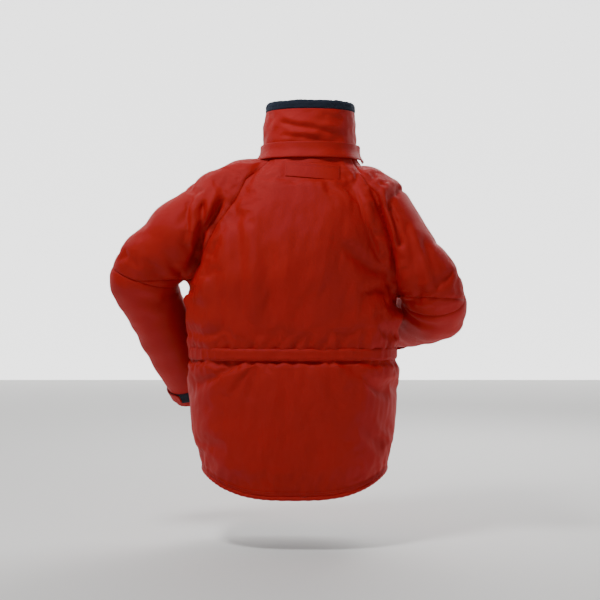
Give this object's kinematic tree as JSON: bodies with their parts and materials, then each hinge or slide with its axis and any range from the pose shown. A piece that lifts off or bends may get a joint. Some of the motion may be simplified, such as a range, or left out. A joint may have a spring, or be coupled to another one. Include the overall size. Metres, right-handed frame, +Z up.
{
  "type": "foul weather jacket",
  "caption": "Padded foul weather sailing jacket in its worn shape: raglan sleeves, high fleece-lined collar, front zip under a storm flap, waist drawcord, pockets and adjustable cuffs.",
  "frame": {"origin": "height of the back neck seam, on the body's own centre line, where the jacket hangs from its wearer's shoulders", "axes": "+Z up along the wearer's body, -Y is the wearer's front, +X is the wearer's left"},
  "size_m": [0.8216, 0.4404, 0.9071],
  "materials": {
    "shell_cloth": "fine woven nylon with a dull sheen, breathable coating behind",
    "binding_cloth": "folded woven nylon",
    "fleece": "brushed pile",
    "lining_cloth": "smooth taffeta",
    "zip_plastic": "moulded acetal",
    "hook_tape": "hook and loop",
    "knit": "rib knit",
    "cord": "braided polyester",
    "nickel": "dull nickel plate"
  },
  "bodies": {
    "torso": {"back_panel": "shell_cloth", "left_front_panel": "shell_cloth", "left_upper_sleeve": "shell_cloth", "right_front_panel": "shell_cloth", "right_upper_sleeve": "shell_cloth", "body_lining": "lining_cloth", "collar": "shell_cloth", "fleece_collar_lining": "fleece", "hood_flap": "shell_cloth", "back_patch": "shell_cloth", "hem_binding": "binding_cloth", "left_zip_tape": "lining_cloth", "left_zip_chain": "zip_plastic", "left_zip_top_stop": "zip_plastic", "right_zip_tape": "lining_cloth", "right_zip_chain": "zip_plastic", "right_zip_top_stop": "zip_plastic", "zip_bottom_box": "zip_plastic", "storm_flap_root": "shell_cloth", "snap_stud_1": "nickel", "snap_stud_2": "nickel", "snap_stud_3": "nickel", "snap_stud_4": "nickel", "snap_stud_5": "nickel", "left_pocket": "shell_cloth", "left_pocket_loop_strip": "hook_tape", "right_pocket": "shell_cloth", "right_pocket_loop_strip": "hook_tape", "waist_channel": "shell_cloth", "waist_drawcord": "cord", "left_cord_lock": "zip_plastic", "right_cord_lock": "zip_plastic", "hanger_loop": "lining_cloth"},
    "left_forearm": {"left_forearm_sleeve": "shell_cloth", "left_cuff_loop_patch": "hook_tape", "left_cuff_binding": "binding_cloth", "left_storm_cuff": "knit"},
    "left_tab": {"left_cuff_tab": "shell_cloth"},
    "right_forearm": {"right_forearm_sleeve": "shell_cloth", "right_cuff_loop_patch": "hook_tape", "right_cuff_binding": "binding_cloth", "right_storm_cuff": "knit"},
    "right_tab": {"right_cuff_tab": "shell_cloth"},
    "slider": {"zip_slider": "nickel"},
    "puller": {"zip_puller": "nickel"},
    "storm_flap": {"storm_flap": "shell_cloth", "snap_cap_1": "nickel", "snap_cap_2": "nickel", "snap_cap_3": "nickel", "snap_cap_4": "nickel", "snap_cap_5": "nickel"},
    "left_pocket_flap": {"left_pocket_flap": "shell_cloth", "left_pocket_hook_strip": "hook_tape"},
    "left_lock_button": {"left_cord_lock_button": "zip_plastic"},
    "right_pocket_flap": {"right_pocket_flap": "shell_cloth", "right_pocket_hook_strip": "hook_tape"},
    "right_lock_button": {"right_cord_lock_button": "zip_plastic"}
  },
  "joints": [
    {"name": "left_elbow", "type": "hinge", "parent": "torso", "child": "left_forearm", "pos_m": [0.41566, 0.04755, -0.26185], "axis": [0.3442, -0.8312, 0.4366], "range_deg": [0, 30]},
    {"name": "left_cuff_tab_hinge", "type": "hinge", "parent": "left_forearm", "child": "left_tab", "pos_m": [0.28973, -0.2037, -0.53704], "axis": [-0.3215, -0.5412, -0.777], "range_deg": [0, 75]},
    {"name": "right_elbow", "type": "hinge", "parent": "torso", "child": "right_forearm", "pos_m": [-0.38142, 0.08291, -0.35518], "axis": [0.7196, 0.3878, -0.576], "range_deg": [0, 30]},
    {"name": "right_cuff_tab_hinge", "type": "hinge", "parent": "right_forearm", "child": "right_tab", "pos_m": [-0.29773, -0.25369, -0.39815], "axis": [-0.3535, 0.9186, 0.1768], "range_deg": [0, 75]},
    {"name": "zip_slide", "type": "slide", "parent": "torso", "child": "slider", "axis": [0.0445, -0.0667, -0.9968], "range_m": [0, 0.8]},
    {"name": "zip_puller_hinge", "type": "hinge", "parent": "slider", "child": "puller", "pos_m": [-0.03667, -0.11339, 0.09132], "axis": [-0.999, -0.003, -0.0444], "range_deg": [0, 150]},
    {"name": "storm_flap_hinge", "type": "hinge", "parent": "torso", "child": "storm_flap", "pos_m": [0.01788, -0.1453, -0.34591], "axis": [-0.0445, 0.0667, 0.9968], "range_deg": [0, 95]},
    {"name": "left_pocket_flap_hinge", "type": "hinge", "parent": "torso", "child": "left_pocket_flap", "pos_m": [0.10344, -0.14726, -0.53158], "axis": [-0.9808, -0.195, 0], "range_deg": [0, 95]},
    {"name": "left_cord_lock_press", "type": "slide", "parent": "torso", "child": "left_lock_button", "axis": [0, 0, -1], "range_m": [0, 0.004], "stiffness_N_per_m": 200, "springref_m": -0.002},
    {"name": "right_pocket_flap_hinge", "type": "hinge", "parent": "torso", "child": "right_pocket_flap", "pos_m": [-0.10344, -0.14726, -0.53158], "axis": [-0.9808, 0.195, 0], "range_deg": [0, 95]},
    {"name": "right_cord_lock_press", "type": "slide", "parent": "torso", "child": "right_lock_button", "axis": [0, 0, -1], "range_m": [0, 0.004], "stiffness_N_per_m": 200, "springref_m": -0.002}
  ]
}
